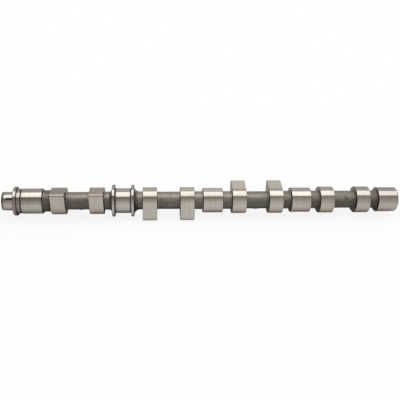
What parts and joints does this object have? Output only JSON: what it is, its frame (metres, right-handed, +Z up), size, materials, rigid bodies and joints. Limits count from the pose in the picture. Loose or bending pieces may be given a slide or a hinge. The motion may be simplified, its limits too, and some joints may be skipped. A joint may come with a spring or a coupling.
{
  "type": "camshaft",
  "caption": "One-piece cast camshaft with bearing journals, a double-flanged thrust journal, paired lobes, slim cast necks and a pilot spigot at the nose",
  "frame": {"origin": "centre of the sprocket seat, on the shaft's axis, at the front face of the nose flange", "axes": "X along the shaft from the sprocket seat to the rear journal, Z up as the shaft lies on a flat surface, Y across"},
  "size_m": [0.4128, 0.0334, 0.0334],
  "materials": {
    "camshaft": "ground journals and lobes, necks and side faces left as cast"
  },
  "bodies": {
    "root": {"camshaft": "camshaft"}
  },
  "joints": []
}
